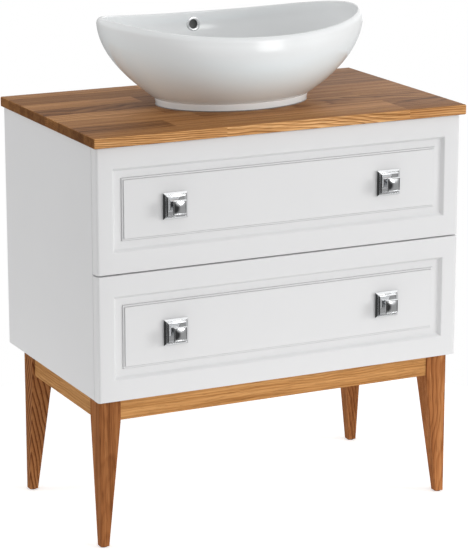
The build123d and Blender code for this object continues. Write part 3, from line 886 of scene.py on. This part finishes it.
    def overflow(self, finishes: Finishes) -> None:
        """Set the chrome ring in the overflow hole, with a dark disc behind it as painted shade where the
        duct would be.

        Args:
            finishes: the finishes.
        """
        seat = self.overflow_seat()
        tube, half_turns = self.hole_radius - 0.2 * MM, 12
        reach = self.ring_radius - self.ring_opening
        profile = [(self.ring_opening, -self.ring_tail)]
        for step in range(half_turns + 1):
            turn = math.pi * (1 - step / half_turns)
            radius = self.ring_opening + reach * (1 + math.cos(turn)) / 2
            profile.append((radius, 0.3 * MM + self.ring_rise * math.sin(turn)))
        profile += [(self.ring_radius, -0.6 * MM), (tube, -0.6 * MM), (tube, -self.ring_tail)]
        ring = bmesh.new()
        spin_profile(ring, profile, 64)
        bmesh.ops.transform(ring, matrix=seat, verts=ring.verts)
        make_piece(ring, "overflow_trim", finishes["chrome"], "cabinet",
                   ["overflow_ring"], 40.0)
        # A dark disc at the bottom of the blind hole: painted shade of the duct.
        shade = bmesh.new()
        behind = Matrix.Translation((0, 0, 1.1 * MM - self.pocket))
        cylinder(shade, self.hole_radius - 0.1 * MM, 2 * MM, seat @ behind)
        make_piece(shade, "overflow_painted_shade", finishes["duct_shade"], "cabinet")

    def bead(self, finishes: Finishes) -> None:
        """Run the sealant round the foot's bottom edge; its dark colour is painted contact shadow under
        the foot.

        Args:
            finishes: the finishes.
        """
        low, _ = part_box("basin_seal")
        centre = Vector((self.centre.x, self.centre.y, low.z))
        foot = self.foot_half - Vector((1, 1, 0)) * (self.foot_taper + 0.5 * MM)
        section = [(-4.0, 0.0), (1.6, 0.0), (1.3, 0.9), (0.6, 1.7), (-0.2, 2.2), (-4.0, 2.2), (-4.0, 0.0)]
        rings = [(foot + Vector((1, 1, 0)) * out * MM, up * MM) for out, up in section]
        bm = bmesh.new()
        count = len(rings) - 1
        wrap_grid(bm, 120, count,
                  lambda u, v: centre + self.oval(u * math.tau, *rings[round(v * count)]))
        make_piece(bm, "basin_bead", finishes["clear_silicone"], "cabinet",
                   ["basin_seal"])


# ---------------- drawer fronts
@dataclass
class DrawerFront:
    """A drawer's lacquered face: a flat frame, a coved drop, a band, two steps and a flat field."""

    level: str
    margin_side: float = 33 * MM
    margin_end: float = 40 * MM
    cove_width: float = 7.5 * MM
    cove_depth: float = 7.5 * MM
    band: float = 13.0 * MM
    steps: Points = (
        (0.7 * MM, -1.8 * MM), (0.6 * MM, 4.0 * MM), (2.2 * MM, 0.0),
        (0.7 * MM, -1.8 * MM), (0.6 * MM, 3.8 * MM))
    cove_facets: int = 10
    gap_trim: float = 0.6 * MM
    corner_round: float = 6 * MM
    edge_round: float = 2 * MM

    def build(self, finishes: Finishes) -> None:
        """Make the front.

        Args:
            finishes: the finishes.
        """
        node = f"{self.level}_drawer_front"
        low, high = (Vector(corner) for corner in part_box(node))
        if self.level == "upper":
            low.z += self.gap_trim
        else:
            high.z -= self.gap_trim
        bm = bmesh.new()
        block(bm, low, high)
        upright = [e for e in bm.edges if abs(e.verts[0].co.z - e.verts[1].co.z) > MM
                   and e.verts[0].co.y < low.y + MM]
        bevel_edges(bm, upright, self.corner_round, 8)
        level_edges = [e for e in bm.edges if abs(e.verts[0].co.x - e.verts[1].co.x) > 0.1
                       and max(v.co.y for v in e.verts) < low.y + MM]
        bevel_edges(bm, level_edges, self.edge_round, 4)
        for x in (low.x + self.margin_side, high.x - self.margin_side):
            cut(bm, bm.faces[:], Vector((x, 0, 0)), Vector((1, 0, 0)))
        for z in (low.z + self.margin_end, high.z - self.margin_end):
            cut(bm, bm.faces[:], Vector((0, 0, z)), Vector((0, 0, 1)))
        middle = Vector(((low.x + high.x) / 2, low.y, (low.z + high.z) / 2))
        field_face = min(bm.faces, key=lambda f: (f.calc_center_median() - middle).length)
        for width, drop in self.profile():
            bmesh.ops.inset_region(bm, faces=[field_face], thickness=width, depth=-drop,
                                   use_even_offset=True, use_boundary=True)
        make_piece(bm, f"{self.level}_front_panel", finishes["white_lacquer"],
                   f"{self.level}_drawer", [node], 18.0)

    def profile(self) -> Iterable[tuple[float, float]]:
        """The moulding from outside in, as (width, drop) steps.

        Returns:
            The steps.
        """
        count = self.cove_facets
        slope = [(1 - math.cos(math.pi * step / count)) / 2 for step in range(count + 1)]
        for before, after in zip(slope, slope[1:]):
            yield self.cove_width / count, self.cove_depth * (after - before)
        yield self.band, 0.0
        for width, rise in self.steps:
            yield width, -rise


# ---------------- knobs
@dataclass
class KnobPair:
    """A drawer's two chrome knobs: stepped square backplates and flared heads with pillow faces."""

    level: str
    base_side: float = 52 * MM
    step_side: float = 35 * MM
    head_side: float = 28 * MM
    face_side: float = 23 * MM
    waist_side: float = 15 * MM
    flare_steps: int = 6
    dome: float = 2.8 * MM
    dome_power: float = 0.85
    soft_edge: float = 0.35 * MM
    sharp_degrees: float = 24.0

    def __post_init__(self) -> None:
        """Read the knobs' places from the frame."""
        self.low, self.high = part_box(f"{self.level}_knob_plates")
        self.spread = (self.high.x - self.low.x - self.base_side) / 2
        self.mount = Vector((0, self.high.y, (self.low.z + self.high.z) / 2))
        self.reach = self.high.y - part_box(f"{self.level}_knob_heads")[0].y

    def stack(self, bm: BMesh, side: float, layers: Points, start: float) -> list[BMFace]:
        """Grow a square prism outwards from the drawer, layer by layer, on each knob's axis.

        Args:
            bm: the mesh it joins.
            side: the first square's side.
            layers: (side of the next square, distance from the drawer) pairs.
            start: the first square's distance from the drawer.

        Returns:
            The outermost faces.
        """
        tops = []
        for sign in (-1, 1):
            centre = self.mount + Vector((sign * self.spread, 0, 0))
            made = bmesh.ops.create_grid(bm, x_segments=1, y_segments=1, size=side / 2,
                                         matrix=Matrix.Rotation(math.pi / 2, 4, "X"))["verts"]
            bmesh.ops.translate(bm, vec=centre + Vector((0, -start, 0)), verts=made)
            face = made[0].link_faces[0]
            now, reach = side, start
            for layer, (next_side, next_reach) in enumerate(layers):
                top = bmesh.ops.extrude_face_region(bm, geom=[face])["geom"]
                if layer > 0:
                    bmesh.ops.delete(bm, geom=[face], context="FACES_ONLY")
                verts = [g for g in top if isinstance(g, bmesh.types.BMVert)]
                face = next(g for g in top if isinstance(g, BMFace))
                shift = Matrix.Translation(-(centre + Vector((0, -reach, 0))))
                bmesh.ops.scale(bm, vec=(next_side / now, 1, next_side / now), verts=verts, space=shift)
                bmesh.ops.translate(bm, vec=(0, reach - next_reach, 0), verts=verts)
                now, reach = next_side, next_reach
            tops.append(face)
        return tops

    def plates(self, finishes: Finishes) -> None:
        """Make both backplates: a base, a groove, a rising slope and a dished step.

        Args:
            finishes: the finishes.
        """
        bm = bmesh.new()
        base, step = self.base_side, self.step_side
        layers = [(base, 1.0 * MM), (base - 8 * MM, 4.4 * MM), (base - 8.4 * MM, 2.6 * MM),
                  (base - 10.4 * MM, 2.6 * MM), (base - 10.8 * MM, 5.4 * MM), (step + 1.5 * MM, 7.2 * MM),
                  (step - 0.5 * MM, 7.2 * MM), (step - 1.5 * MM, 5.8 * MM)]
        self.stack(bm, base, layers, 0.0)
        self.dress(bm, "plates", finishes)

    def heads(self, finishes: Finishes) -> None:
        """Make both heads: a waist that flares out, a short side, a bevel and a cushion face.

        Args:
            finishes: the finishes.
        """
        bm = bmesh.new()
        side, face, waist = self.head_side, self.face_side, self.waist_side
        flare_start, flare_end = self.reach - 12.4 * MM, self.reach - 5.4 * MM
        layers = []
        for step in range(1, self.flare_steps + 1):
            share = step / self.flare_steps
            curve = 1 - math.cos(share * math.pi / 2)
            reach = flare_start + (flare_end - flare_start) * share
            layers.append((waist + (side - waist) * curve, reach))
        layers += [(side, self.reach - 3.4 * MM), (face + 1.8 * MM, self.reach - 1.9 * MM),
                   (face + 1.2 * MM, self.reach - self.dome), (face, self.reach - self.dome)]
        for top in self.stack(bm, waist, layers, flare_start):
            self.pillow(bm, top)
        self.dress(bm, "heads", finishes)

    def pillow(self, bm: BMesh, top: BMFace) -> None:
        """Swell a flat square face into a cushion.

        Args:
            bm: the mesh.
            top: the face.
        """
        centre = top.calc_center_median()
        half = top.edges[0].calc_length() / 2
        made = bmesh.ops.subdivide_edges(bm, edges=top.edges[:], cuts=11, use_grid_fill=True)
        for vert in {g for g in made["geom_inner"] if isinstance(g, bmesh.types.BMVert)}:
            across = 1 - ((vert.co.x - centre.x) / half) ** 2
            upward = 1 - ((vert.co.z - centre.z) / half) ** 2
            vert.co.y -= self.dome * max(0.0, across * upward) ** self.dome_power

    def dress(self, bm: BMesh, part: str, finishes: Finishes) -> None:
        """Make the plates or the heads a piece, with softened edges.

        Args:
            bm: the plates or the heads.
            part: which of them.
            finishes: the finishes.
        """
        name = f"{self.level}_knob_{part}"
        piece = make_piece(bm, f"{name}_chrome", finishes["chrome"], f"{self.level}_drawer",
                           [name], self.sharp_degrees)
        soften = piece.modifiers.new("soften", "BEVEL")
        soften.width, soften.segments = self.soft_edge, 2
        soften.limit_method, soften.angle_limit = "ANGLE", math.radians(self.sharp_degrees)


# ---------------- frame nodes that keep their CAD shape
def dress_nodes(finishes: Finishes) -> None:
    """Give every carried-over CAD node its finish.

    Args:
        finishes: the finishes.
    """
    slots = {entry["node"]: entry["material_slot"] for entry in frame["record"]["subparts"]}
    special = {"rail_front": "rail_oak_x", "rail_rear": "rail_oak_x", "rail_left": "rail_oak_y",
               "rail_right": "rail_oak_y", **{look.node: look.node for look in LEG_LOOKS}}
    for name, node in frame["nodes"].items():
        material = finishes[special.get(name, slots[name])]
        if not node.material_slots:
            node.data.materials.append(material)
        for holder in node.material_slots:
            holder.material = material


# ---------------- studio
@dataclass(frozen=True)
class Softbox:
    """An area light: place, side and power, the height if it isn't square, and if mirrors show it."""

    name: str
    place: tuple[float, float, float]
    side: float
    power: float
    height: float = 0.0
    glossy: bool = False

    def hang(self, aim: Vector) -> None:
        """Hang the light.

        Args:
            aim: the point it faces.
        """
        light = bpy.data.lights.new(self.name, "AREA")
        light.shape = "RECTANGLE"
        light.size, light.size_y = self.side, self.height or self.side
        light.energy = self.power
        lamp = bpy.data.objects.new(self.name, light)
        lamp.visible_glossy = self.glossy
        lamp.location = self.place
        lamp.rotation_euler = (aim - Vector(self.place)).to_track_quat("-Z", "Y").to_euler()
        bpy.context.scene.collection.objects.link(lamp)


SOFTBOXES = (
    Softbox("key", (4.0, -2.9, 1.4), 1.4, 92.0),
    Softbox("front", (-1.4, -4.6, 1.2), 2.2, 33.0),
    Softbox("rear_left", (-3.6, 1.6, 1.2), 1.8, 46.0),
    Softbox("above", (-0.3, -0.9, 3.4), 1.6, 5.0),
    Softbox("sheen", (1.15, 1.15, 1.08), 0.8, 1.2, glossy=True),
    Softbox("glint", (1.05, -2.50, 1.65), 0.75, 11.0, height=1.3, glossy=True),
)


@dataclass
class Studio:
    """Pale floor, soft lights and the camera."""

    yaw_degrees: float = 25.94
    pitch_degrees: float = 14.44
    camera_from_floor: float = 1.7138
    camera_left: float = 2.1326
    camera_front: float = 4.152
    lens: float = 162.25
    soft_base: float = 0.57
    soft_lobes: Lobes = (("X", -0.6, 0.6, 0.02), ("Z", -0.1, 0.8, 0.06))
    glossy_base: float = 0.05
    glossy_lobes: Lobes = (
        ("X", 0.05, 0.45, 0.38), ("Z", -0.15, 0.40, 0.95), ("Y", -0.2, 0.5, 0.3))
    floor_radius: float = 0.9
    aim: Vector = field(default_factory=lambda: Vector((0, 0, 0.5)))

    def build(self) -> None:
        """Make the floor, the lights, the sky and the camera."""
        self.floor()
        self.sky()
        for softbox in SOFTBOXES:
            softbox.hang(self.aim)
        self.camera()

    def floor(self) -> None:
        """A pale round floor that glows a little, as a lit sweep does."""
        bm = bmesh.new()
        bmesh.ops.create_circle(bm, cap_ends=True, segments=96, radius=self.floor_radius)
        mesh = bpy.data.meshes.new("floor")
        bm.to_mesh(mesh)
        bm.free()
        graph = Graph("floor_pale", Roughness=0.9, Base_Color=(0.9, 0.9, 0.9), Emission_Strength=0.44,
                      Emission_Color=(1.0, 1.0, 1.0))
        mesh.materials.append(graph.material)
        floor = bpy.data.objects.new("floor", mesh)
        bpy.context.scene.collection.objects.link(floor)
        floor.visible_glossy = False

    def sky(self) -> None:
        """A white background, with one sky for soft light and a contrasty one for reflections."""
        world = bpy.data.worlds.new("studio")
        bpy.context.scene.world = world
        world.use_nodes = True
        tree = world.node_tree
        tree.nodes.clear()
        output = tree.nodes.new("ShaderNodeOutputWorld")
        path = tree.nodes.new("ShaderNodeLightPath")
        direction = tree.nodes.new("ShaderNodeTexCoord")
        split = tree.nodes.new("ShaderNodeSeparateXYZ")
        tree.links.new(direction.outputs["Generated"], split.inputs[0])

        def lobe(axis: str, low: float, high: float, strength: float) -> NodeSocket:
            """Light that grows along an axis from low to high.

            Args:
                axis: the axis.
                low: where the light starts.
                high: where it is full.
                strength: its full strength.

            Returns:
                The strength.
            """
            made = tree.nodes.new("ShaderNodeMapRange")
            made.interpolation_type = "SMOOTHSTEP"
            tree.links.new(split.outputs[axis], made.inputs["Value"])
            made.inputs["From Min"].default_value, made.inputs["From Max"].default_value = low, high
            made.inputs["To Max"].default_value = strength
            return made.outputs[0]

        def total(base: float, lobes: Lobes) -> NodeSocket:
            """A background whose strength is a base and its lobes together.

            Args:
                base: the strength everywhere.
                lobes: axis, low, high and strength of each lobe.

            Returns:
                The background.
            """
            amount: NodeSocket | None = None
            for spec in lobes:
                added = tree.nodes.new("ShaderNodeMath")
                if amount is None:
                    added.inputs[0].default_value = base
                else:
                    tree.links.new(amount, added.inputs[0])
                tree.links.new(lobe(*spec), added.inputs[1])
                amount = added.outputs[0]
            background = tree.nodes.new("ShaderNodeBackground")
            tree.links.new(amount, background.inputs["Strength"])
            return background.outputs[0]

        def chosen(ray: str, rest: NodeSocket, own: NodeSocket) -> NodeSocket:
            """One background for a kind of ray and another for the rest.

            Args:
                ray: the kind of ray.
                rest: what other rays see.
                own: what that kind sees.

            Returns:
                The choice.
            """
            made = tree.nodes.new("ShaderNodeMixShader")
            for socket, source in enumerate((path.outputs[ray], rest, own)):
                tree.links.new(source, made.inputs[socket])
            return made.outputs[0]

        plain = tree.nodes.new("ShaderNodeBackground")
        plain.inputs["Color"].default_value = (1.0, 1.0, 1.0, 1.0)
        soft = total(self.soft_base, self.soft_lobes)
        glossy = total(self.glossy_base, self.glossy_lobes)
        lit = chosen("Is Camera Ray", chosen("Is Glossy Ray", soft, glossy), plain.outputs[0])
        tree.links.new(lit, output.inputs["Surface"])

    def camera(self) -> None:
        """The camera, left of and above the object, level and unshifted."""
        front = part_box("worktop")[0].y
        data = bpy.data.cameras.new("camera")
        data.lens = self.lens
        data.sensor_width = 36.0
        camera = bpy.data.objects.new("camera", data)
        camera.location = (-self.camera_left, front - self.camera_front, self.camera_from_floor)
        pitch, yaw = math.radians(90 - self.pitch_degrees), math.radians(self.yaw_degrees)
        camera.rotation_euler = (pitch, 0, -yaw)
        bpy.context.scene.collection.objects.link(camera)
        bpy.context.scene.camera = camera
        bpy.context.scene.view_settings.view_transform = "Standard"


def main() -> None:
    """Build the object's pieces in order, then the studio."""
    logging.basicConfig(level=logging.INFO, format="%(name)s %(message)s")
    finishes = Finishes()
    dress_nodes(finishes)
    Worktop().build(finishes)
    VesselBasin().build(finishes)
    for level in ("upper", "lower"):
        DrawerFront(level).build(finishes)
        knobs = KnobPair(level)
        knobs.plates(finishes)
        knobs.heads(finishes)
    Studio().build()


if __name__ == "__main__":
    main()
